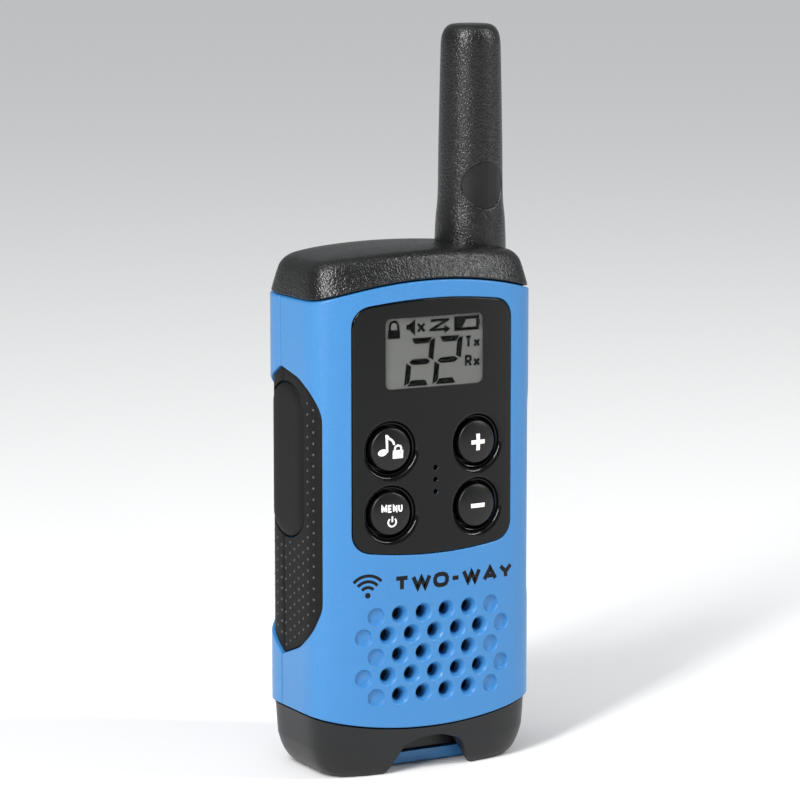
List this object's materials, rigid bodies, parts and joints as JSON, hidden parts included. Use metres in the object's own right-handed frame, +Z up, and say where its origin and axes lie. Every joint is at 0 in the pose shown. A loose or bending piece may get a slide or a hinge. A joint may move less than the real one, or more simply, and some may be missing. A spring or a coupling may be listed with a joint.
{
  "type": "walkie talkie",
  "caption": "Pocket two-way radio with a blue clamshell body, stub antenna, small display, four round keys, side talk button, speaker grille and a rear battery cover.",
  "frame": {"origin": "on the surface that the radio stands on, below the middle of its body", "axes": "+Z up along the antenna, +X to the right as seen from the front, the front with the display faces -Y"},
  "size_m": [0.0536, 0.0304, 0.159],
  "materials": {
    "blue_plastic": "satin fine-textured blue ABS",
    "black_plastic": "black ABS with a leather-like moulded grain",
    "panel_plastic": "smooth black",
    "black_rubber": "matt black elastomer",
    "display_window": "clear moulded window",
    "display_glass": "grey liquid-crystal glass",
    "circuit_board": "green solder mask",
    "steel": "plated",
    "brass": "bright",
    "natural_plastic": "natural",
    "speaker_paper": "matt black paper and cloth",
    "cell_jacket": "printed shrink sleeve, plain",
    "red_insulation": "wire insulation"
  },
  "bodies": {
    "radio": {"antenna_coil": "brass", "antenna_contact": "brass", "antenna_core": "natural_plastic", "antenna_ferrule": "brass", "antenna_sleeve": "black_plastic", "audio_chip": "panel_plastic", "battery_cell_1": "cell_jacket", "battery_cell_2": "cell_jacket", "battery_cell_3": "cell_jacket", "battery_plate_1": "steel", "battery_plate_2": "steel", "battery_plate_3": "steel", "battery_spring_1": "steel", "battery_spring_2": "steel", "battery_spring_3": "steel", "bottom_cap": "black_plastic", "display_window": "display_window", "front_housing": "blue_plastic", "front_panel": "panel_plastic", "housing_screw_1": "steel", "housing_screw_2": "steel", "housing_screw_3": "steel", "housing_screw_4": "steel", "key_switch_1": "steel", "key_switch_2": "steel", "key_switch_3": "steel", "key_switch_4": "steel", "keypad_membrane": "black_rubber", "lcd_connector_strip": "black_rubber", "lcd_light_guide": "natural_plastic", "lcd_module": "display_glass", "left_grip_front": "black_rubber", "left_grip_rear": "black_rubber", "main_board": "circuit_board", "microphone": "steel", "microphone_boot": "black_rubber", "ptt_switch": "steel", "radio_chip": "panel_plastic", "rear_housing": "blue_plastic", "right_grip_front": "black_rubber", "right_grip_rear": "black_rubber", "shield_can": "steel", "speaker_cloth": "speaker_paper", "speaker_cone": "speaker_paper", "speaker_frame": "natural_plastic", "speaker_gasket": "black_rubber", "speaker_lead_black": "black_rubber", "speaker_lead_red": "red_insulation", "speaker_magnet": "steel", "top_cap": "black_plastic"},
    "key_call": {"key_call": "panel_plastic"},
    "key_menu": {"key_menu": "panel_plastic"},
    "key_plus": {"key_plus": "panel_plastic"},
    "key_minus": {"key_minus": "panel_plastic"},
    "ptt_button": {"ptt_button": "black_rubber"},
    "battery_cover": {"battery_cover": "blue_plastic", "latch_pin": "steel"},
    "battery_latch": {"battery_latch": "blue_plastic"}
  },
  "joints": [
    {"name": "key_call_press", "type": "slide", "parent": "radio", "child": "key_call", "axis": [0, 1, 0], "range_m": [0, 0.0006], "stiffness_N_per_m": 1500},
    {"name": "key_menu_press", "type": "slide", "parent": "radio", "child": "key_menu", "axis": [0, 1, 0], "range_m": [0, 0.0006], "stiffness_N_per_m": 1500},
    {"name": "key_plus_press", "type": "slide", "parent": "radio", "child": "key_plus", "axis": [0, 1, 0], "range_m": [0, 0.0006], "stiffness_N_per_m": 1500},
    {"name": "key_minus_press", "type": "slide", "parent": "radio", "child": "key_minus", "axis": [0, 1, 0], "range_m": [0, 0.0006], "stiffness_N_per_m": 1500},
    {"name": "ptt_press", "type": "slide", "parent": "radio", "child": "ptt_button", "axis": [1, 0, 0], "range_m": [0, 0.0008], "stiffness_N_per_m": 2500},
    {"name": "battery_cover_hinge", "type": "hinge", "parent": "radio", "child": "battery_cover", "pos_m": [0, 0.0151, 0.0755], "axis": [1, 0, 0], "range_deg": [0, 35]},
    {"name": "battery_latch_hinge", "type": "hinge", "parent": "battery_cover", "child": "battery_latch", "pos_m": [0, 0.011, 0.0021], "axis": [1, 0, 0], "range_deg": [0, 70]}
  ]
}
